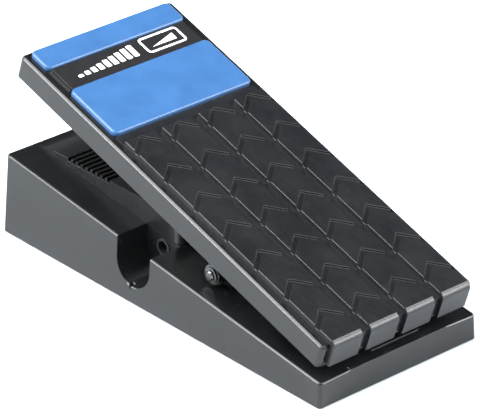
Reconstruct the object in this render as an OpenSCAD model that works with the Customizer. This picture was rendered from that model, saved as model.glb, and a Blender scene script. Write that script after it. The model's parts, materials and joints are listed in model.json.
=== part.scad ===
// Volume pedal: a rocking treadle on a wedge-shaped base, which turns a
// potentiometer through a toothed sector and a pinion.
// Millimetres, +Z up, +Y towards the toe end, +X to the player's right.
// The origin is on the floor, under the middle of the pedal.

/* [Base] */
// Length of the base at the floor
base_l = 231.8; // [229:0.1:236]
// Width of the base at the floor
base_w = 101; // [98:0.1:103]
// Height of the deck's front edge above the floor
deck_front_z = 13.5; // [12.5:0.1:14]
// Height of the deck's rear edge above the floor
deck_rear_z = 43.3; // [42.8:0.1:43.8]
// Thickness of the base's walls
base_wall = 2.4; // [2:0.1:2.8]
// Half width of the raised centre housing
housing_x = 30.3; // [29:0.1:31]
// Height of the housing's crown above the floor
housing_z = 44.4; // [44.1:0.1:44.8]
// Half width of the plug notches
notch_r = 12; // [10:0.5:13]
// Number of grip grooves across the housing
groove_count = 9; // [5:1:9]

/* [Treadle] */
// Length of the treadle shell
treadle_l = 228; // [225:0.1:229]
// Width of the treadle shell
treadle_w = 95.8; // [93:0.1:96.4]
// Depth of the treadle shell's skirt
skirt_h = 12.5; // [11:0.1:12.8]
// Slope of the treadle at rest, heel down
tilt = 17.84; // [17.5:0.01:18]
// Angle of travel from heel down to toe down
travel = 17.5; // [12:0.5:17.5]

/* [Tread] */
// Height of the tread blocks above the treadle
block_h = 3.1; // [2:0.1:4]
// Width of each column of blocks
column_w = 18; // [16:0.5:20]
// Number of V channels along each column
chevron_rows = 7; // [4:1:7]
// Depth of the V channels
chevron_depth = 1.2; // [0.5:0.1:1.8]
// Height of the blue toe pads
pad_h = 2.5; // [1.5:0.1:3]

/* [Drive] */
// Tooth size of the sector and pinion
gear_module = 1; // [1:0.1:1]
// Teeth on the pinion
pinion_teeth = 10; // [10:1:10]
// Teeth that the sector would have on a full circle
sector_teeth = 150; // [150:1:150]

/* [Jacks] */
// Radius of the plug bore
plug_r = 3.25; // [3.2:0.05:3.4]

/* [Hidden] */
$fn = 64;
eps = 0.01;

// Colours
shell_black = [0.10, 0.105, 0.11];
tread_black = [0.13, 0.13, 0.14];
toe_blue = [0.23, 0.50, 0.90];
rubber_grey = [0.16, 0.16, 0.16];
steel = [0.72, 0.73, 0.75];
brass = [0.80, 0.65, 0.35];
nylon = [0.90, 0.89, 0.84];

// Base body
shell_low = 0.5;
front_y = -114;
rear_y = front_y + base_l;
side_draft = 0.0414;
rear_draft = 0.045;
front_draft = 0.035;
mould_top = 60;
deck_slope = (deck_rear_z - deck_front_z) / base_l;
function deck_z(y) = deck_front_z + deck_slope * (y - front_y);

// Centre housing
housing_front = 6;
housing_corner = 5;
nose_r = 8;
crown_y = 90;
crown_r = 180;
groove_pitch = 3.7;
groove_w = 2;
groove_depth = 1.6;
groove_y = 60;

// Plug pockets
jack_y = 18.9;
jack_z = 23.9;
notch_z = 21.4;
pocket_wall = 2;

// Pivot
pivot_y = -27.3;
pivot_z = 31.4;
axle_r = 2.5;
axle_end = 42.2;
boss_in = 27;
boss_out = 33.2;
boss_r = 6;
lug_in = 34.3;
lug_out = 38.3;
lug_r = 5.5;
bush_r = 3.5;
bush_fit = 0.05;
washer_r = 5;

// Treadle, in its own frame: x across, y from heel to toe, z out of its top
heel_y = -113.04;
heel_z = 31.05;
plate_t = 2.5;
skirt_t = 2.5;
treadle_corner = 2.5;
pivot_s = (pivot_y - heel_y) * cos(tilt) + (pivot_z - heel_z) * sin(tilt);
pivot_n = (pivot_z - heel_z) * cos(tilt) - (pivot_y - heel_y) * sin(tilt);

// Tread mat
mat_half = 43.5;
mat_web = 0.6;
mat_end = 152.6;
mat_heel = 2.75;
mat_drop = 10.9;
heel_round = 3;
column_pitch = (2 * mat_half - column_w) / 3;
chevron_first = 19.5;
chevron_pitch = 22.2;
chevron_w = 3.2;
chevron_slope = 0.867;

// Toe pads and label
pad_half = 43.8;
pad_corner = 3;
pad_start = 159.2;
pad_end = 195;
label_half = 41.7;
label_h = 1.6;
label_boss_h = 1;
label_start = 195.3;
label_end = 211.4;
strip_start = 211.7;
strip_end = 226.1;

// Drive
pinion_pitch_r = gear_module * pinion_teeth / 2;
sector_pitch_r = gear_module * sector_teeth / 2;
pinion_y = pivot_y + pinion_pitch_r + sector_pitch_r;
pinion_z = pivot_z;
sector_in = 66;
sector_low = -3.6;
sector_arm = 36;
gear_half = 2.5;
pot_wall_x = 12;
pot_wall_t = 2;
pot_r = 8.4;
pot_depth = 8.5;

// Screws of the bottom cover
cover_t = 1.5;
cover_z = 1.5;
screw_x = 40;
screw_ys = [-98, -62, 45, 103];

module mirror_x() {
    children();
    mirror([1, 0, 0]) children();
}

// Extrudes a side-view outline (y, z) across the pedal from x0 to x1
module side_extrude(x0, x1) {
    translate([x0, 0, 0]) rotate([90, 0, 90]) linear_extrude(height = x1 - x0) children();
}

// Cylinder along X
module x_rod(r, x0, x1, y, z) {
    translate([x0, y, z]) rotate([0, 90, 0]) cylinder(r = r, h = x1 - x0);
}

module rounded_rect(x0, y0, x1, y1, r) {
    translate([x0 + r, y0]) square([x1 - x0 - 2 * r, y1 - y0]);
    translate([x0, y0 + r]) square([x1 - x0, y1 - y0 - 2 * r]);
    for (x = [x0 + r, x1 - r], y = [y0 + r, y1 - r]) translate([x, y]) circle(r = r);
}

// Places a child given in the treadle's own frame
module on_treadle() {
    translate([0, heel_y, heel_z]) rotate([tilt, 0, 0]) children();
}

// Wedge with drafted walls, shrunk by t on every side and under the deck
module wedge(t, floor_z) {
    half = base_w / 2 - t;
    top = mould_top;
    intersection() {
        side_extrude(-base_w, base_w) polygon([
            [front_y + t + front_draft * (floor_z - shell_low), floor_z],
            [rear_y - t - rear_draft * (floor_z - shell_low), floor_z],
            [rear_y - t - rear_draft * (deck_rear_z - shell_low), deck_rear_z - t],
            [front_y + t + front_draft * (deck_front_z - shell_low), deck_front_z - t]
        ]);
        translate([0, rear_y + 1, 0]) rotate([90, 0, 0]) linear_extrude(height = base_l + 2) polygon([
            [-half + side_draft * (floor_z - shell_low), floor_z],
            [half - side_draft * (floor_z - shell_low), floor_z],
            [half - side_draft * (top - shell_low), top],
            [-half + side_draft * (top - shell_low), top]
        ]);
    }
}

// Raised housing: flat top that falls away to the rear, rounded nose, shrunk by t
module housing(t, floor_z) {
    x = housing_x - t;
    y0 = housing_front + t;
    y1 = rear_y - 4 - t;
    nose = nose_r - t;
    nose_z = housing_z - t - nose;
    intersection() {
        side_extrude(-x, x) intersection() {
            union() {
                translate([y0, floor_z]) square([crown_y - y0, housing_z - t - floor_z]);
                translate([crown_y, housing_z - crown_r]) circle(r = crown_r - t, $fn = 360);
            }
            union() {
                translate([y0 + nose, floor_z]) square([y1 - y0 - nose, housing_z]);
                translate([y0, floor_z]) square([nose * 2, nose_z - floor_z]);
                translate([y0 + nose, nose_z]) circle(r = nose);
            }
        }
        translate([0, 0, floor_z]) linear_extrude(height = mould_top)
            rounded_rect(-x, y0, x, y1 + 20, housing_corner - t);
    }
}

// U-shaped plug pocket on the left, grown by t and ending at x_end
module pocket(t, x_end) {
    side_extrude(-base_w, x_end) {
        translate([jack_y, notch_z]) circle(r = notch_r + t);
        translate([jack_y - notch_r - t, notch_z]) square([2 * (notch_r + t), mould_top]);
    }
}

module screw_boss(y) {
    translate([screw_x, y, cover_z + cover_t]) cylinder(r = 3.6, h = deck_z(y) - cover_z - cover_t - 1);
}

module base_shell() {
    color(shell_black) difference() {
        union() {
            difference() {
                union() {
                    wedge(0, shell_low);
                    housing(0, 20);
                }
                difference() {
                    union() {
                        wedge(base_wall, shell_low - 1);
                        housing(base_wall, 12);
                    }
                    mirror_x() pocket(pocket_wall, -housing_x + base_wall);
                }
                mirror_x() pocket(0, -housing_x);
            }
            mirror_x() {
                pivot_boss();
                for (y = screw_ys) screw_boss(y);
                jack_cradle();
            }
            pot_web();
            front_lip();
            heel_step();
        }
        x_rod(axle_r + 0.02, -base_w, base_w, pivot_y, pivot_z);
        mirror_x() {
            x_rod(4.7, -housing_x - 1, -housing_x + base_wall + 1, jack_y, jack_z);
            for (y = screw_ys) translate([screw_x, y, 0]) cylinder(r = 1.6, h = 12);
        }
        x_rod(3.6, pot_wall_x - 1, pot_wall_x + pot_wall_t + 1, pinion_y, pinion_z);
        grip_grooves();
        sector_slot();
        side_nicks();
    }
}

// Upright boss on the deck that carries the axle
module pivot_boss() {
    side_extrude(boss_in, boss_out) {
        translate([pivot_y, pivot_z]) circle(r = boss_r);
        translate([pivot_y - boss_r, pivot_z - 12]) square([2 * boss_r, 12]);
    }
}

// Two ribs that hold a jack body from the housing's ceiling
module jack_cradle() {
    rib_t = 2;
    body = 7.2;
    for (y = [jack_y - body - rib_t, jack_y + body]) {
        translate([-26, y, jack_z - body]) cube([16, rib_t, 43.4 - jack_z + body]);
    }
}

// Wall inside the housing that carries the potentiometer
module pot_web() {
    translate([pot_wall_x, pinion_y - 13, pinion_z - 12]) cube([pot_wall_t, 26, 43.6 - pinion_z + 12]);
}

module grip_grooves() {
    for (i = [0 : groove_count - 1]) {
        translate([-base_w / 2, groove_y + i * groove_pitch - groove_w / 2, housing_z - groove_depth])
            cube([base_w, groove_w, 10]);
    }
}

// Slot in the housing that the sector swings through
module sector_slot() {
    translate([-8, 34.5, 36]) cube([16, 16, 20]);
}

// Shallow raised lip in the middle of the front edge, flush with the front wall
module front_lip() {
    lip_h = 0.4;
    lip_x = 30.6;
    lip_rear = front_y + 3.5;
    top = deck_front_z + lip_h;
    side_extrude(-lip_x, lip_x) polygon([
        [front_y + front_draft * (deck_front_z - 1 - shell_low), deck_front_z - 1],
        [front_y + front_draft * (top - shell_low), top],
        [lip_rear, deck_z(lip_rear) + lip_h], [lip_rear, deck_front_z - 1]
    ]);
}

// Thin raised step in front of the treadle's heel
module heel_step() {
    step_h = 0.5;
    step_y = -107.6;
    side_extrude(-12, 18) polygon([
        [step_y, deck_z(step_y) - 1], [step_y, deck_z(step_y) + step_h],
        [step_y + 10, deck_z(step_y + 10) + step_h], [step_y + 10, deck_z(step_y + 10) - 1]
    ]);
}

// Small nick in each side wall, under the plug notch
module side_nicks() {
    mirror_x() translate([-base_w / 2 - 1, 20.3, notch_z - notch_r - 2]) cube([4, 0.9, 4]);
}

module bottom_cover() {
    inset = base_wall + 0.3;
    color(steel) difference() {
        translate([0, 0, cover_z]) linear_extrude(height = cover_t)
            rounded_rect(-base_w / 2 + inset, front_y + inset, base_w / 2 - inset, rear_y - inset, 1.5);
        mirror_x() for (y = screw_ys) translate([screw_x, y, 0]) cylinder(r = 1.8, h = 10);
    }
}

module rubber_feet() {
    color(rubber_grey) mirror_x() for (y = [front_y + 28, rear_y - 26])
        translate([screw_x - 4, y, 0]) {
            cylinder(r1 = 6, r2 = 6.8, h = cover_z);
        }
}

module cover_screws() {
    color(steel) mirror_x() for (y = screw_ys) translate([screw_x, y, 0]) difference() {
        union() {
            translate([0, 0, 0.4]) cylinder(r1 = 2.4, r2 = 3.1, h = 1.1);
            translate([0, 0, cover_z]) cylinder(r = 1.5, h = 9);
        }
        for (a = [0, 90]) rotate([0, 0, a]) translate([-1.6, -0.3, -1]) cube([3.2, 0.6, 2]);
    }
}

jack_body_x0 = -housing_x + base_wall + 0.1;
jack_len = 22;

// Jack on the left side: a nose through the housing wall and a square body
module jack_body() {
    difference() {
        union() {
            x_rod(4.55, -housing_x - 0.6, jack_body_x0 + 1, jack_y, jack_z);
            translate([jack_body_x0, jack_y - 7, jack_z - 7]) cube([jack_len, 14, 14]);
        }
        x_rod(plug_r, -housing_x - 2, jack_body_x0 + jack_len - 3, jack_y, jack_z);
        translate([jack_body_x0 + 5, jack_y - 2, jack_z - 8]) cube([jack_len - 9, 4, 8]);
    }
}

// Tip spring under the plug bore, and its solder lug
module jack_contacts() {
    translate([jack_body_x0 + 6, jack_y - 1.5, jack_z - 4.4]) cube([jack_len - 11, 3, 0.5]);
    translate([jack_body_x0 + 6, jack_y - 1.5, jack_z - 10.5]) cube([0.6, 3, 6.3]);
    translate([jack_body_x0 + 14, jack_y - 1.5, jack_z - 10.5]) cube([0.6, 3, 6.3]);
}

module output_jack() {
    color(tread_black) jack_body();
}

module output_jack_contacts() {
    color(brass) jack_contacts();
}

module input_jack() {
    color(tread_black) mirror([1, 0, 0]) jack_body();
}

module input_jack_contacts() {
    color(brass) mirror([1, 0, 0]) jack_contacts();
}

clip_x = 40.3;

module pivot_axle() {
    groove_r = 2;
    color(steel) difference() {
        union() {
            x_rod(axle_r, -axle_end + 0.5, axle_end - 0.5, pivot_y, pivot_z);
            mirror_x() translate([axle_end - 0.5 - eps, pivot_y, pivot_z]) rotate([0, 90, 0])
                cylinder(r1 = axle_r, r2 = axle_r - 0.5, h = 0.5);
        }
        mirror_x() translate([clip_x - 0.05, pivot_y, pivot_z]) rotate([0, 90, 0]) difference() {
            cylinder(r = axle_r + 1, h = 0.9);
            translate([0, 0, -1]) cylinder(r = groove_r, h = 3);
        }
    }
}

// E clips: a ring with an open mouth, which snaps into the axle's groove
module axle_clips() {
    color(steel) mirror_x() translate([clip_x, pivot_y, pivot_z]) rotate([0, 90, 0]) difference() {
        cylinder(r = 4.1, h = 0.8);
        translate([0, 0, -1]) cylinder(r = 2.05, h = 3);
        translate([0, -1.5, -1]) cube([6, 3, 3]);
    }
}

module x_ring(r_out, r_in, x0, x1) {
    difference() {
        x_rod(r_out, x0, x1, pivot_y, pivot_z);
        x_rod(r_in, x0 - 1, x1 + 1, pivot_y, pivot_z);
    }
}

module axle_washers() {
    color(steel) mirror_x() x_ring(washer_r, axle_r + 0.15, 39.2, 40.2);
}

module spring_washers() {
    color(steel) mirror_x() x_ring(4.4, axle_r + 0.15, 38.6, 39.15);
}

module pivot_bushes() {
    color(nylon) mirror_x() difference() {
        union() {
            x_rod(lug_r - 0.3, boss_out + 0.3, lug_in - 0.02, pivot_y, pivot_z);
            x_rod(bush_r, lug_in - 0.1, lug_out, pivot_y, pivot_z);
        }
        x_rod(axle_r + bush_fit, boss_out - 1, lug_out + 1, pivot_y, pivot_z);
    }
}

// Shell, ribs, pivot lugs and the posts for the stops, in the treadle's frame
module treadle() {
    inner_x = treadle_w / 2 - skirt_t;
    color(shell_black) on_treadle() difference() {
        union() {
            difference() {
                translate([0, 0, -skirt_h]) linear_extrude(height = skirt_h)
                    rounded_rect(-treadle_w / 2, 0, treadle_w / 2, treadle_l, treadle_corner);
                translate([-inner_x, skirt_t, -skirt_h - 1])
                    cube([2 * inner_x, treadle_l - 2 * skirt_t, skirt_h - plate_t + 1]);
            }
            mirror_x() treadle_lug();
            treadle_ribs(inner_x);
            label_boss();
            mirror_x() stop_posts();
        }
        mirror_x() x_rod(bush_r, lug_in - 1, lug_out + 1, pivot_s, pivot_n);
        mirror_x() translate([sector_screw_x, sector_screw_s, -8]) cylinder(r = 1.3, h = 7.4);
    }
}

sector_screw_s = 142;
sector_screw_x = 6.3;

module treadle_lug() {
    side_extrude(lug_in, lug_out) {
        translate([pivot_s, pivot_n]) circle(r = lug_r);
        translate([pivot_s - lug_r, pivot_n]) square([2 * lug_r, -pivot_n - plate_t + 0.5]);
        polygon([
            [pivot_s - lug_r - 8, -plate_t + 0.5], [pivot_s + lug_r + 8, -plate_t + 0.5],
            [pivot_s + lug_r, -13], [pivot_s - lug_r, -13]
        ]);
    }
}

// Stepped platform that carries the label between the blue pads
module label_boss() {
    steps = 2;
    sunk = 0.5;
    for (i = [1 : steps]) {
        half = label_half + 0.8 + 0.7 * (steps - i);
        translate([-half, label_start, -sunk])
            cube([2 * half, label_end - label_start, sunk + label_boss_h * i / steps]);
    }
}

module treadle_ribs(inner_x) {
    rib_t = 1.6;
    rib_h = 4.5;
    for (s = [24, 60, 104, 170, 198]) {
        translate([-inner_x - 0.5, s, -plate_t - rib_h]) cube([2 * inner_x + 1, rib_t, rib_h + 0.5]);
    }
    mirror_x() translate([22, 1, -plate_t - rib_h]) cube([rib_t, treadle_l - 2, rib_h + 0.5]);
}

heel_stop_s = 14;
toe_stop_s = 204;
stop_x = 14;
heel_post_h = 13;
toe_post_h = 7.5;
stop_r = 4.5;

module stop_posts() {
    translate([stop_x, heel_stop_s, -plate_t - heel_post_h]) cylinder(r = stop_r, h = heel_post_h + 0.5);
    translate([stop_x, toe_stop_s, -plate_t - toe_post_h]) cylinder(r = stop_r, h = toe_post_h + 0.5);
}

// Heel stops meet the deck at rest; toe stops meet the housing at full travel
module heel_bumpers() {
    heel_pad_h = 3.45;
    color(rubber_grey) on_treadle() mirror_x()
        translate([stop_x, heel_stop_s, -plate_t - heel_post_h - heel_pad_h]) cylinder(r = 4, h = heel_pad_h);
}

module toe_bumpers() {
    toe_pad_h = 3.5;
    color(rubber_grey) on_treadle() mirror_x()
        translate([stop_x, toe_stop_s, -plate_t - toe_post_h - toe_pad_h]) cylinder(r = 4, h = toe_pad_h);
}

// Side outline of a tread column: flat top, rounded heel edge, short heel face
module column_outline(top) {
    translate([0, 0]) square([mat_end, top]);
    translate([-mat_heel, -mat_drop]) square([mat_heel, mat_drop + top - heel_round]);
    translate([-mat_heel + heel_round, top - heel_round]) circle(r = heel_round);
}

module tread_mat() {
    color(tread_black) on_treadle() {
        difference() {
            for (i = [0 : 3]) {
                x = -mat_half + i * column_pitch;
                difference() {
                    side_extrude(x, x + column_w) column_outline(block_h);
                    translate([x - 1, 0, -mat_drop - 1]) cube([column_w + 2, 5, mat_drop + 1]);
                }
            }
            for (i = [0 : 3], k = [0 : chevron_rows - 1]) {
                chevron(-mat_half + column_w / 2 + i * column_pitch, chevron_first + k * chevron_pitch);
            }
        }
        translate([-mat_half, 0, 0]) cube([2 * mat_half, pad_start - 0.3, mat_web]);
        translate([-mat_half, -mat_web, -mat_drop]) cube([2 * mat_half, mat_web, mat_drop + mat_web]);
    }
}

// V channel whose point faces the toe
module chevron(x, s) {
    half = column_w / 2 + 0.1;
    fall = chevron_slope * half;
    translate([0, 0, block_h - chevron_depth]) linear_extrude(height = 5) polygon([
        [x, s], [x + half, s - fall], [x + half, s - fall - chevron_w],
        [x, s - chevron_w], [x - half, s - fall - chevron_w], [x - half, s - fall]
    ]);
}

module toe_pad() {
    color(toe_blue) on_treadle() linear_extrude(height = pad_h)
        rounded_rect(-pad_half, pad_start, pad_half, pad_end, pad_corner);
}

module toe_strip() {
    color(toe_blue) on_treadle() linear_extrude(height = pad_h)
        rounded_rect(-pad_half, strip_start, pad_half, strip_end, pad_corner);
}

module label_plate() {
    color(tread_black) on_treadle() translate([-label_half, label_start, label_boss_h])
        cube([2 * label_half, label_end - label_start, label_h - label_boss_h]);
}

// Tooth outline along +x, at pitch radius r; the tip and root radii set its height
module tooth(r, tip, root, thick) {
    flank = 0.36;
    polygon([
        [r - root, thick / 2 + root * flank], [r + tip, thick / 2 - tip * flank],
        [r + tip, -thick / 2 + tip * flank], [r - root, -thick / 2 - root * flank]
    ]);
}

tooth_tip = 0.8;
tooth_root = 1.15;
tooth_thick = 1.3;

// Sector: toothed arc and arm about the pivot, with a foot under the treadle
module rack_sector() {
    step = 360 / sector_teeth;
    root_r = sector_pitch_r - tooth_root + 0.02;
    color(nylon) difference() {
        union() {
            side_extrude(-gear_half, gear_half) translate([pivot_y, pivot_z]) {
                intersection() {
                    difference() {
                        circle(r = root_r, $fn = 360);
                        circle(r = sector_in, $fn = 360);
                    }
                    polygon([
                        [0, 0], [100 * cos(sector_low), 100 * sin(sector_low)],
                        [100 * cos(16), 100 * sin(16)], [100 * cos(sector_arm), 100 * sin(sector_arm)]
                    ]);
                }
                for (i = [-1 : 8]) rotate([0, 0, (i + 0.5) * step])
                    tooth(sector_pitch_r, tooth_tip, tooth_root, tooth_thick);
            }
            sector_foot();
        }
        above_treadle_plate();
        on_treadle() mirror_x() translate([sector_screw_x, sector_screw_s, -9]) cylinder(r = 1.6, h = 9);
    }
}

// Foot plate of the sector, flat against the treadle's underside
module sector_foot() {
    on_treadle() translate([-9.5, 132, -plate_t - 0.05 - 3]) cube([19, 20, 3]);
}

module above_treadle_plate() {
    on_treadle() translate([-20, 100, -plate_t - 0.05]) cube([40, 80, 60]);
}

module sector_screws() {
    color(steel) on_treadle() mirror_x() translate([sector_screw_x, sector_screw_s, 0]) difference() {
        union() {
            translate([0, 0, -plate_t - 3.05 - 1.6]) cylinder(r = 2.6, h = 1.6);
            translate([0, 0, -plate_t - 3.1]) cylinder(r = 1.25, h = 4.5);
        }
        translate([-2, -0.3, -plate_t - 3.05 - 2]) cube([4, 0.6, 1]);
    }
}

module pinion_gear() {
    root_r = pinion_pitch_r - tooth_root + 0.02;
    color(brass) difference() {
        union() {
            side_extrude(-3, 3) translate([pinion_y, pinion_z]) {
                circle(r = root_r);
                for (i = [0 : pinion_teeth - 1]) rotate([0, 0, i * 360 / pinion_teeth])
                    tooth(pinion_pitch_r, tooth_tip, tooth_root, tooth_thick - 0.1);
            }
            x_rod(4.9, 3.2, 8, pinion_y, pinion_z);
            x_rod(root_r - 0.15, 2, 4, pinion_y, pinion_z);
        }
        x_rod(3.02, -4, 9, pinion_y, pinion_z);
        translate([5.6, pinion_y, pinion_z]) cylinder(r = 1.05, h = 6);
    }
}

module pinion_grub_screw() {
    color(steel) translate([5.6, pinion_y, pinion_z + 3.05]) difference() {
        cylinder(r = 1, h = 1.7);
        translate([-1.5, -0.2, 1.2]) cube([3, 0.4, 1]);
    }
}

module pot_shaft() {
    color(steel) x_rod(3, -3.4, 14.4, pinion_y, pinion_z);
}

pot_x = pot_wall_x + pot_wall_t;

module pot_case() {
    color(steel) difference() {
        union() {
            x_rod(pot_r, pot_x + 0.6, pot_x + 0.6 + pot_depth, pinion_y, pinion_z);
            translate([pot_x + 0.6, pinion_y - 7, pinion_z - pot_r - 1.5]) cube([1.8, 14, 6]);
        }
        x_rod(4.05, pot_x, pot_x + 2, pinion_y, pinion_z);
    }
}

module pot_bushing() {
    color(brass) difference() {
        union() {
            x_rod(3.5, 9, pot_x + 0.7, pinion_y, pinion_z);
            x_rod(4, pot_x + 0.02, pot_x + 2, pinion_y, pinion_z);
        }
        x_rod(3.05, 8, 14.6, pinion_y, pinion_z);
    }
}

module pot_nut() {
    color(steel) difference() {
        translate([9.4, pinion_y, pinion_z]) rotate([0, 90, 0]) cylinder(r = 5.6, h = 2, $fn = 6);
        x_rod(3.55, 9, 12, pinion_y, pinion_z);
    }
}

module pot_washer() {
    color(steel) difference() {
        x_rod(5.8, 11.45, 11.95, pinion_y, pinion_z);
        x_rod(3.6, 11, 12.5, pinion_y, pinion_z);
    }
}

terminal_ys = [pinion_y - 5, pinion_y, pinion_y + 5];
terminal_z = pinion_z - pot_r - 1.5;

module pot_terminals() {
    color(brass) for (y = terminal_ys) translate([pot_x + 1.2, y - 1, terminal_z - 5]) cube([0.6, 2, 5]);
}

// Wires: a round tube swept along a smooth curve through its control points
wire_r = 0.7;
wire_sides = 8;
wire_rings = 14;
wire_top = jack_z - 10.95;
wire_end = pinion_z - 15.3;
wire_paths = [
    [[-21.5, jack_y, wire_top], [-21.5, 20, 5], [-16, 29, 4.5], [0, 24, 5], [12, 28, 4.5], [8, 42, 5],
        [15.5, pinion_y - 5, 8], [15.5, pinion_y - 5, wire_end]],
    [[21.5, jack_y, wire_top], [21.5, 20, 8], [25, 40, 4.5], [22, 56, 5],
        [15.5, pinion_y + 5, 9], [15.5, pinion_y + 5, wire_end]],
    [[13.5, jack_y, wire_top], [13.5, 19, 4], [21, 34, 4], [19, 50, 4.5],
        [15.5, pinion_y, 8], [15.5, pinion_y, wire_end]]
];

function curve(p, t) = let (n = len(p)) n == 1 ? p[0]
    : curve([for (i = [0 : n - 2]) p[i] * (1 - t) + p[i + 1] * t], t);
function unit(v) = v / norm(v);
function along(p, i) =
    unit(curve(p, min(1, (i + 0.5) / wire_rings)) - curve(p, max(0, (i - 0.5) / wire_rings)));

module wire(path) {
    n = wire_sides;
    verts = [for (i = [0 : wire_rings]) let (
        ahead = along(path, i), side = unit(cross(ahead, [0.35, -0.8, 0.1])), up = cross(side, ahead))
        for (k = [0 : n - 1])
            curve(path, i / wire_rings) + wire_r * (cos(360 * k / n) * side + sin(360 * k / n) * up)];
    walls = [for (i = [0 : wire_rings - 1], k = [0 : n - 1], half = [0, 1])
        let (a = i * n + k, b = i * n + (k + 1) % n) half == 0 ? [a, b, b + n] : [a, b + n, a + n]];
    last = wire_rings * n;
    ends = [for (k = [1 : n - 2]) each [[0, k + 1, k], [last, last + k, last + k + 1]]];
    polyhedron(points = verts, faces = concat(walls, ends));
}

module signal_wires() {
    color([0.75, 0.15, 0.12]) for (p = wire_paths) wire(p);
}

base_shell();
bottom_cover();
rubber_feet();
cover_screws();
output_jack();
output_jack_contacts();
input_jack();
input_jack_contacts();
pivot_axle();
axle_clips();
axle_washers();
spring_washers();
pivot_bushes();
treadle();
tread_mat();
toe_pad();
toe_strip();
label_plate();
rack_sector();
sector_screws();
heel_bumpers();
toe_bumpers();
pinion_gear();
pinion_grub_screw();
pot_shaft();
pot_case();
pot_bushing();
pot_nut();
pot_washer();
pot_terminals();
signal_wires();
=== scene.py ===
import json
import math

import bmesh
import bpy
from mathutils import Matrix, Vector

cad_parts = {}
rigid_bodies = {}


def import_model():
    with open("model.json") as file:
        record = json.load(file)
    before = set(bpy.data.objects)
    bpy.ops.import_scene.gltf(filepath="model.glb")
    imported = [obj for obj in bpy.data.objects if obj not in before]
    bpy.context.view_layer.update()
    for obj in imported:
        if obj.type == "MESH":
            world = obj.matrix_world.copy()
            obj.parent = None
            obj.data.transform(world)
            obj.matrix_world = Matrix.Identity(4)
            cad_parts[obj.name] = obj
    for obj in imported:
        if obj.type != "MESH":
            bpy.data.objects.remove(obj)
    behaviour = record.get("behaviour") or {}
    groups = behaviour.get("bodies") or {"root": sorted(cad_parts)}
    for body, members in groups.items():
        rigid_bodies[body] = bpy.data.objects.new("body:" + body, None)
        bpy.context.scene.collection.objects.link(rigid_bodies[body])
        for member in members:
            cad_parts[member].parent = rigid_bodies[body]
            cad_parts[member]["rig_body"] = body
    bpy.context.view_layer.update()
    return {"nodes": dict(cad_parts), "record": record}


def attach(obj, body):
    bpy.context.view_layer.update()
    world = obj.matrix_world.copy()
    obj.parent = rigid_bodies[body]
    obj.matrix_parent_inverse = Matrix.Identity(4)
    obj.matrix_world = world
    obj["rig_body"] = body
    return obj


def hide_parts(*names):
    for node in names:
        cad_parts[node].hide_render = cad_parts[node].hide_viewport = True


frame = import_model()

scene = bpy.context.scene
nodes = frame["nodes"]
MM = 0.001

# ---------------------------------------------------------------- the treadle's own frame
TILT = math.radians(17.84)
HEEL = Vector((0, -113.04, 31.05)) * MM
TREADLE = Matrix.Translation(HEEL) @ Matrix.Rotation(TILT, 4, "X")
TREADLE_INV = TREADLE.inverted()


# ---------------------------------------------------------------- materials
def material(name):
    m = bpy.data.materials.new(name)
    m.use_nodes = True
    tree = m.node_tree
    tree.nodes.clear()
    out = tree.nodes.new("ShaderNodeOutputMaterial")
    bsdf = tree.nodes.new("ShaderNodeBsdfPrincipled")
    tree.links.new(bsdf.outputs[0], out.inputs[0])
    return m, tree, bsdf


def noise(tree, scale, detail=3.0, rough=0.55, stretch=(1, 1, 1)):
    coord = tree.nodes.new("ShaderNodeTexCoord")
    place = tree.nodes.new("ShaderNodeMapping")
    place.inputs["Scale"].default_value = stretch
    n = tree.nodes.new("ShaderNodeTexNoise")
    n.inputs["Scale"].default_value = scale
    n.inputs["Detail"].default_value = detail
    n.inputs["Roughness"].default_value = rough
    tree.links.new(coord.outputs["Object"], place.inputs[0])
    tree.links.new(place.outputs[0], n.inputs["Vector"])
    return n.outputs["Fac"]


def remap(tree, value, a, b, c, d):
    n = tree.nodes.new("ShaderNodeMapRange")
    for i, v in enumerate((a, b, c, d)):
        n.inputs[i + 1].default_value = v
    tree.links.new(value, n.inputs[0])
    return n.outputs[0]


def ramp(tree, value, stops):
    n = tree.nodes.new("ShaderNodeValToRGB")
    e = n.color_ramp.elements
    while len(e) < len(stops):
        e.new(0.5)
    for i, (at, colour) in enumerate(stops):
        e[i].position = at
        e[i].color = (*colour, 1)
    tree.links.new(value, n.inputs[0])
    return n.outputs[0]


def mix(tree, factor, a, b):
    n = tree.nodes.new("ShaderNodeMix")
    n.data_type = "RGBA"
    tree.links.new(factor, n.inputs[0])
    for socket, v in ((n.inputs[6], a), (n.inputs[7], b)):
        if isinstance(v, tuple):
            socket.default_value = (*v, 1)
        else:
            tree.links.new(v, socket)
    return n.outputs[2]


def bump(tree, height, strength, distance, under=None):
    n = tree.nodes.new("ShaderNodeBump")
    n.inputs["Strength"].default_value = strength
    n.inputs["Distance"].default_value = distance
    tree.links.new(height, n.inputs["Height"])
    if under is not None:
        tree.links.new(under, n.inputs["Normal"])
    return n.outputs[0]


def edge_mask(tree, radius):
    """1 on convex and concave edges, 0 on flats."""
    bevel = tree.nodes.new("ShaderNodeBevel")
    bevel.samples = 4
    bevel.inputs[0].default_value = radius
    geo = tree.nodes.new("ShaderNodeNewGeometry")
    dot = tree.nodes.new("ShaderNodeVectorMath")
    dot.operation = "DOT_PRODUCT"
    tree.links.new(bevel.outputs[0], dot.inputs[0])
    tree.links.new(geo.outputs["Normal"], dot.inputs[1])
    return remap(tree, dot.outputs["Value"], 0.995, 0.90, 0.0, 1.0)


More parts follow.
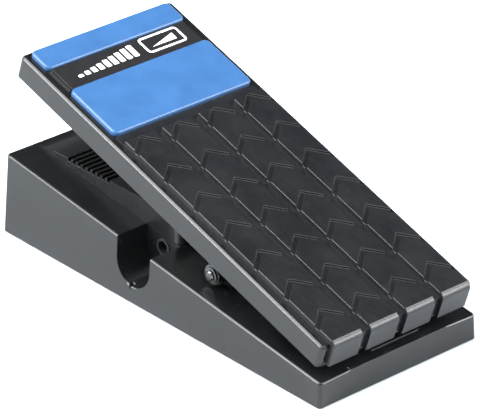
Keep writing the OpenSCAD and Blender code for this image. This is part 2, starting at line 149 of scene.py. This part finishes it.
def moulded(name, dark, light, rough, grain=(2200, 0.10, 0.00012), ior=1.5, wear_and_highlight=None, drift=70,
            scuff=0.05):
    """Moulded plastic or rubber: drifting colour, grained skin, fine scuffs and, when an edge colour is
    given, lighter edges that are partly wear and partly a painted edge highlight.

    grain is (scale, strength, depth in metres) of the skin; drift is the scale of the colour's drift."""
    m, tree, bsdf = material(name)
    colour = mix(tree, remap(tree, noise(tree, drift, 4), 0.35, 0.65, 0, 1), dark, light)
    # The edge colour paints lighter edges: partly wear, partly a painted highlight that stands in for
    # bright edge glints.
    if wear_and_highlight:
        wear_and_highlight_mask = tree.nodes.new("ShaderNodeMath")
        wear_and_highlight_mask.operation = "MULTIPLY"
        tree.links.new(edge_mask(tree, 0.0006), wear_and_highlight_mask.inputs[0])
        tree.links.new(remap(tree, noise(tree, 260, 5), 0.42, 0.62, 0.0, 1.0), wear_and_highlight_mask.inputs[1])
        colour = mix(tree, wear_and_highlight_mask.outputs[0], colour, wear_and_highlight)
    tree.links.new(colour, bsdf.inputs["Base Color"])
    streak = noise(tree, 420, 6, 0.7, (1, 0.22, 1))
    tree.links.new(remap(tree, streak, 0.3, 0.7, rough - scuff, rough + scuff), bsdf.inputs["Roughness"])
    soft = bump(tree, noise(tree, 35, 2), 0.06, 0.0006)
    grain_scale, grain_strength, grain_depth = grain
    fine = bump(tree, noise(tree, grain_scale, 2), grain_strength, grain_depth, soft)
    tree.links.new(fine, bsdf.inputs["Normal"])
    bsdf.inputs["IOR"].default_value = ior
    return m


def metal(name, dark, light, rough, stretch=(1, 6, 6), scale=900):
    m, tree, bsdf = material(name)
    lines = noise(tree, scale, 6, 0.65, stretch)
    tree.links.new(mix(tree, remap(tree, lines, 0.3, 0.7, 0, 1), dark, light), bsdf.inputs["Base Color"])
    tree.links.new(remap(tree, lines, 0.3, 0.7, rough - 0.08, rough + 0.08), bsdf.inputs["Roughness"])
    tree.links.new(bump(tree, lines, 0.12, 0.00004), bsdf.inputs["Normal"])
    bsdf.inputs["Metallic"].default_value = 1.0
    return m


SHELL_DARK = (0.0055, 0.0058, 0.0062)
SHELL_LIGHT = (0.0075, 0.008, 0.0085)
# The shell's lighter edge colour is partly wear and partly a painted edge highlight.
shell_mat = moulded("moulded_shell", SHELL_DARK, SHELL_LIGHT, 0.26, ior=1.51, scuff=0.02,
                    grain=(2600, 0.06, 0.0001), wear_and_highlight=(0.03, 0.03, 0.032))
treadle_mat = moulded("treadle_skin", SHELL_DARK, SHELL_LIGHT, 0.25, ior=1.50, scuff=0.02,
                      grain=(1700, 0.13, 0.00012))
# The tread's lighter edge colour is partly wear and partly a painted edge highlight.
tread_mat = moulded("tread_rubber", (0.0050, 0.0056, 0.0070), (0.0100, 0.0108, 0.0124), 0.36,
                    grain=(1500, 0.22, 0.00015), wear_and_highlight=(0.018, 0.018, 0.019), drift=45)
blue_mat = moulded("blue_pad", (0.028, 0.094, 0.232), (0.036, 0.110, 0.266), 0.38,
                   grain=(900, 0.10, 0.0001))
label_mat = moulded("label", (0.007, 0.007, 0.008), (0.010, 0.010, 0.011), 0.42,
                    grain=(3000, 0.05, 0.00005))
print_mat = moulded("printed_marks", (0.80, 0.80, 0.80), (0.88, 0.88, 0.88), 0.5,
                    grain=(3000, 0.04, 0.00004))
rubber_mat = moulded("stop_rubber", (0.02, 0.02, 0.02), (0.035, 0.035, 0.035), 0.7,
                     grain=(1200, 0.25, 0.0002))
jack_mat = moulded("jack_plastic", (0.014, 0.014, 0.015), (0.022, 0.022, 0.023), 0.4)
nylon_mat = moulded("nylon", (0.62, 0.60, 0.54), (0.70, 0.68, 0.62), 0.45)
wire_mat = moulded("wire_cover", (0.35, 0.02, 0.02), (0.42, 0.03, 0.03), 0.4)
cover_mat = moulded("cover_sheet", (0.02, 0.02, 0.021), (0.03, 0.03, 0.031), 0.45, grain=(700, 0.3, 0.0002))
steel_mat = metal("axle_steel", (0.04, 0.041, 0.043), (0.22, 0.225, 0.23), 0.22)
zinc_mat = metal("fastener_steel", (0.45, 0.45, 0.46), (0.62, 0.62, 0.62), 0.34, (1, 1, 1), 500)
brass_mat = metal("contact_brass", (0.60, 0.44, 0.20), (0.78, 0.60, 0.30), 0.28, (1, 1, 1), 500)
case_mat = metal("pot_metal", (0.40, 0.41, 0.42), (0.52, 0.53, 0.54), 0.36, (1, 1, 1), 400)

by_slot = {
    "moulded_shell": shell_mat, "tread_rubber": tread_mat, "blue_pad": blue_mat, "label": label_mat,
    "stop_rubber": rubber_mat, "jack_plastic": jack_mat, "nylon": nylon_mat, "wire_cover": wire_mat,
    "cover_sheet": cover_mat, "axle_steel": steel_mat, "fastener_steel": zinc_mat,
    "contact_brass": brass_mat, "pot_metal": case_mat,
}
slot_of = {s["node"]: s["material_slot"] for s in frame["record"]["subparts"]}


def dress(o, m):
    o.data.materials.clear()
    o.data.materials.append(m)


for name, o in nodes.items():
    dress(o, by_slot[slot_of[name]])


# ---------------------------------------------------------------- bevelled copies of CAD shapes
FLAT = math.radians(0.2)    # faces within this angle of each other are made one flat face
SHARP = math.radians(26)    # edges past this angle are shaded sharp, and only they are bevelled


def clean_copy(name):
    """A new mesh from a CAD node: welded, with its flat faces made whole again."""
    bm = bmesh.new()
    bm.from_mesh(nodes[name].data)
    bmesh.ops.remove_doubles(bm, verts=bm.verts, dist=2e-6)
    bmesh.ops.dissolve_degenerate(bm, dist=1e-6, edges=bm.edges)
    bmesh.ops.dissolve_limit(bm, angle_limit=FLAT, verts=bm.verts, edges=bm.edges,
                             use_dissolve_boundaries=False)
    bmesh.ops.recalc_face_normals(bm, faces=bm.faces)
    return bm


def rounded(name, passes, miter="ARC", weld=0.0):
    """Replaces a CAD node by a copy with rounded edges.

    passes are (width in mm, segments, chooser of edges). A chooser gets an edge's middle in mm, the
    normals of its two faces, and the edge. weld joins points that lie closer than that many mm."""
    bm = clean_copy(name)
    for width, segments, wanted in passes:
        chosen = []
        for e in bm.edges:
            if len(e.link_faces) == 2 and e.calc_face_angle(0.0) > SHARP:
                middle = (e.verts[0].co + e.verts[1].co) / 2 / MM
                n1, n2 = (f.normal for f in e.link_faces)
                if wanted(middle, n1, n2, e):
                    chosen.append(e)
        bmesh.ops.bevel(bm, geom=chosen, offset=width * MM, offset_type="OFFSET", segments=segments,
                        profile=0.5, affect="EDGES", clamp_overlap=False,
                        miter_outer=miter, miter_inner=miter, spread=0.1 * MM)
        bm.normal_update()
    if weld:
        bmesh.ops.remove_doubles(bm, verts=bm.verts, dist=weld * MM)
        bmesh.ops.dissolve_degenerate(bm, dist=weld / 2 * MM, edges=bm.edges)
    for e in bm.edges:
        e.smooth = len(e.link_faces) == 2 and e.calc_face_angle(0.0) < SHARP
    mesh = bpy.data.meshes.new(name + "_detail")
    bm.to_mesh(mesh)
    bm.free()
    o = bpy.data.objects.new(name + "_detail", mesh)
    scene.collection.objects.link(o)
    for p in mesh.polygons:
        p.use_smooth = True
    w = o.modifiers.new("normals", "WEIGHTED_NORMAL")
    w.weight = 100
    w.keep_sharp = True
    dress(o, by_slot[slot_of[name]])
    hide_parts(name)
    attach(o, nodes[name]["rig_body"])
    return o


def local(v):
    return TREADLE_INV @ (v * MM) / MM


def level(z, at, by=0.06):
    return abs(z - at) < by


# The treadle's top rim, then the lower rim of its skirt
def treadle_rim(mid, n1, n2, e):
    p = local(mid)
    return level(p.z, 0) and (abs(p.x) > 44 or p.y < 2.6 or p.y > 225)


def treadle_skirt(mid, n1, n2, e):
    return level(local(mid).z, -12.5)


def shell_corners(mid, n1, n2, e):
    upright = abs((e.verts[0].co - e.verts[1].co).normalized().z) > 0.9
    return upright and abs(mid.x) > 46 and (mid.y > 113 or mid.y < -112)


def shell_rim(mid, n1, n2, e):
    side, top = sorted((n1, n2), key=lambda n: n.z)
    outside = abs(mid.x) > 46 or mid.y > 113 or mid.y < -111
    return outside and mid.z > 8 and top.z > 0.9 and abs(side.z) < 0.3 and not on_lip(mid)


def on_lip(mid):
    return abs(mid.x) < 30.7 and mid.y < -110


def lip_edges(mid, n1, n2, e):
    return on_lip(mid) and mid.z > 13.7 and e.is_convex


# The housing's long top edges, and both edges of each grip groove
def housing_edges(mid, n1, n2, e):
    return mid.z > 42.3 and abs(mid.x) < 30.8 and 52 < mid.y < 100 and e.is_convex


# The plug pockets' edges, above the nick in the outer wall
def notch_edges(mid, n1, n2, e):
    return abs(mid.x) > 30.9 and 6.2 < mid.y < 31.6 and mid.z > 10.6 and e.is_convex


def shell_foot(mid, n1, n2, e):
    return level(mid.z, 0.5) and (abs(mid.x) > 49 or mid.y > 115 or mid.y < -113)


# The two low steps beside the label
def boss_steps(mid, n1, n2, e):
    p = local(mid)
    return 0.3 < p.z < 1.2 and 42 < abs(p.x) < 43.6 and e.is_convex


def column_edges(mid, n1, n2, e):
    return local(mid).z > 0.7


def pad_top(mid, n1, n2, e):
    return local(mid).z > 2.0


def every(*_):
    return True


WELD = 0.008

treadle_look = rounded("treadle", [
    (1.8, 6, treadle_rim), (0.25, 2, treadle_skirt), (0.18, 2, boss_steps),
])
dress(treadle_look, treadle_mat)
rounded("base_shell", [
    (2.0, 5, shell_corners), (1.1, 4, shell_rim), (0.3, 2, shell_foot), (0.3, 2, lip_edges),
    (0.4, 3, notch_edges), (0.35, 2, housing_edges),
], weld=WELD)
rounded("tread_mat", [(0.5, 3, column_edges)], weld=WELD)
for pad in ("toe_pad", "toe_strip"):
    rounded(pad, [(1.1, 4, pad_top)], miter="SHARP")
rounded("label_plate", [(0.25, 2, every)], weld=WELD)

# The small parts, each with the width in mm that all its edges are bevelled by
FINE = {
    "pivot_axle": 0.12, "axle_clips": 0.10, "axle_washers": 0.18, "spring_washers": 0.08,
    "pivot_bushes": 0.15, "cover_screws": 0.06, "sector_screws": 0.06, "rubber_feet": 0.35,
    "heel_bumpers": 0.35, "toe_bumpers": 0.35, "bottom_cover": 0.25, "output_jack": 0.15,
    "input_jack": 0.15, "rack_sector": 0.06, "pinion_gear": 0.06, "pot_shaft": 0.15, "pot_case": 0.3,
    "pot_bushing": 0.12, "pot_nut": 0.10, "pot_washer": 0.08, "pot_terminals": 0.08,
    "output_jack_contacts": 0.06, "input_jack_contacts": 0.06, "pinion_grub_screw": 0.06,
}
for name, width in FINE.items():
    rounded(name, [(width, 2, every)])


# ---------------------------------------------------------------- printed marks on the label
LABEL_TOP = 1.6
INK_THICK = 0.06
INK_SUNK = 0.02


def printed(name, outlines):
    """Thin raised ink on the label's top: each outline is a ring and its hole, or None, in mm as (x, s)."""
    bm = bmesh.new()

    def raised(points):
        return [bm.verts.new(TREADLE @ (Vector((x, s, LABEL_TOP + INK_THICK)) * MM)) for x, s in points]

    for ring, hole in outlines:
        a = raised(ring)
        if hole:
            b = raised(hole)
            for i in range(len(a)):
                j = (i + 1) % len(a)
                bm.faces.new((a[i], a[j], b[j], b[i]))
        else:
            bm.faces.new(a)
    ext = bmesh.ops.extrude_face_region(bm, geom=list(bm.faces))
    down = TREADLE.to_3x3() @ Vector((0, 0, -(INK_THICK + INK_SUNK))) * MM
    lowered = [g for g in ext["geom"] if isinstance(g, bmesh.types.BMVert)]
    bmesh.ops.translate(bm, vec=down, verts=lowered)
    bmesh.ops.recalc_face_normals(bm, faces=bm.faces)
    mesh = bpy.data.meshes.new(name)
    bm.to_mesh(mesh)
    bm.free()
    o = bpy.data.objects.new(name, mesh)
    scene.collection.objects.link(o)
    dress(o, print_mat)
    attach(o, "treadle")


def round_rect(x0, s0, x1, s1, r, k=6):
    """A rectangle with corners of radius r, each in k steps, as a list of points."""
    corners = ((x1 - r, s1 - r, 0), (x0 + r, s1 - r, 90), (x0 + r, s0 + r, 180), (x1 - r, s0 + r, 270))
    pts = []
    for cx, cy, a0 in corners:
        for i in range(k + 1):
            a = math.radians(a0 + 90 * i / k)
            pts.append((cx + r * math.cos(a), cy + r * math.sin(a)))
    return pts


def framed_wedge():
    """A rounded frame, then the rising wedge inside it."""
    x0, s0, x1, s1 = 10.5, 198.9, 35.3, 210.2
    line = 1.2
    outer = round_rect(x0, s0, x1, s1, 2.2)
    inner = round_rect(x0 + line, s0 + line, x1 - line, s1 - line, 1.1)
    return [(outer, inner), ([(15.0, 202.4), (30.6, 202.4), (30.6, 206.8)], None)]


def rising_bars(count=9, first_x=-33.0, foot=200.2, width=3.0, pitch=4.4, shortest=1.8, growth=0.85):
    """A row of bars on one foot line, each taller than the last."""
    lefts = [first_x + i * pitch for i in range(count)]
    tops = [foot + shortest + i * growth for i in range(count)]
    return [(round_rect(x, foot, x + width, top, 0.5, 3), None) for x, top in zip(lefts, tops)]


frame_mark, wedge_mark = framed_wedge()
printed("label_marks", [frame_mark, *rising_bars(), wedge_mark])

# ---------------------------------------------------------------- floor, light, camera
FLOOR_HALF = 6.0
floor = bpy.data.meshes.new("floor")
bm = bmesh.new()
bmesh.ops.create_grid(bm, x_segments=1, y_segments=1, size=FLOOR_HALF)
bm.to_mesh(floor)
bm.free()
floor_obj = bpy.data.objects.new("floor", floor)
scene.collection.objects.link(floor_obj)
fm, ftree, fbsdf = material("pale_floor")
ftree.links.new(mix(ftree, noise(ftree, 3.0, 2), (0.66, 0.70, 0.73), (0.68, 0.715, 0.745)),
                fbsdf.inputs["Base Color"])
fbsdf.inputs["Roughness"].default_value = 0.9
fbsdf.inputs["Specular IOR Level"].default_value = 0.2
dress(floor_obj, fm)

# A pale backdrop near the horizon and a dark ceiling, as in a photo studio
world = bpy.data.worlds.new("studio")
scene.world = world
world.use_nodes = True
wt = world.node_tree
direction = wt.nodes.new("ShaderNodeTexCoord")
split = wt.nodes.new("ShaderNodeSeparateXYZ")
wt.links.new(direction.outputs["Generated"], split.inputs[0])
height = remap(wt, split.outputs["Z"], 0.0, 1.0, 0.0, 1.0)
backdrop = [
    (0.0, (0.95, 0.98, 1.0)),
    (0.14, (0.80, 0.83, 0.85)),
    (0.34, (0.10, 0.105, 0.11)),
    (1.0, (0.06, 0.063, 0.066)),
]
wt.links.new(ramp(wt, height, backdrop), wt.nodes["Background"].inputs[0])
wt.nodes["Background"].inputs[1].default_value = 1.0


def softbox(name, toward, up, distance, size, radiance):
    """A rectangular light that faces the pedal from a direction; its height runs along up."""
    light = bpy.data.lights.new(name, "AREA")
    light.shape = "RECTANGLE"
    light.size, light.size_y = size
    light.energy = radiance * math.pi * size[0] * size[1]
    light.color = (0.97, 0.99, 1.0)
    away = Vector(toward).normalized()
    tall = (Vector(up) - away * away.dot(Vector(up))).normalized()
    o = bpy.data.objects.new(name, light)
    o.location = away * distance
    o.rotation_mode = "QUATERNION"
    o.rotation_quaternion = Matrix((tall.cross(away), tall, away)).transposed().to_quaternion()
    scene.collection.objects.link(o)


softbox("overhead", (-0.34, 0.16, 0.92), (0, 1, 0), 2.2, (1.5, 1.9), 9.8)
softbox("front_right", (0.62, -0.62, 0.50), (0, 0, 1), 2.3, (1.6, 1.6), 13.5)
softbox("front_left", (-0.32, -0.77, 0.55), (0, 0, 1), 2.3, (0.7, 0.7), 8.0)
softbox("left_low", (-0.78, 0.54, 0.31), (0, 0, 1), 2.2, (1.4, 0.6), 25.5)
softbox("left_high", (-0.74, 0.30, 0.60), (0, 0, 1), 2.2, (0.7, 0.55), 22.0)

cam_data = bpy.data.cameras.new("camera")
cam = bpy.data.objects.new("camera", cam_data)
scene.collection.objects.link(cam)
back = Vector((-0.59030, -0.65819, 0.46727)).normalized()
level_right = (-back).cross(Vector((0, 0, 1))).normalized()
level_up = level_right.cross(-back).normalized()
roll = math.radians(0.371)
right = level_right * math.cos(roll) + level_up * math.sin(roll)
up = -level_right * math.sin(roll) + level_up * math.cos(roll)
cam.rotation_mode = "QUATERNION"
cam.rotation_quaternion = Matrix((right, up, back)).transposed().to_quaternion()
cam.location = Vector((-1.12115, -1.25265, 0.93041))
cam_data.sensor_width = 36.0
cam_data.lens = 297.11
cam_data.shift_x = -0.001
cam_data.clip_start = 0.05
cam_data.clip_end = 50
scene.camera = cam
scene.view_settings.view_transform = "Standard"
scene.view_settings.look = "None"
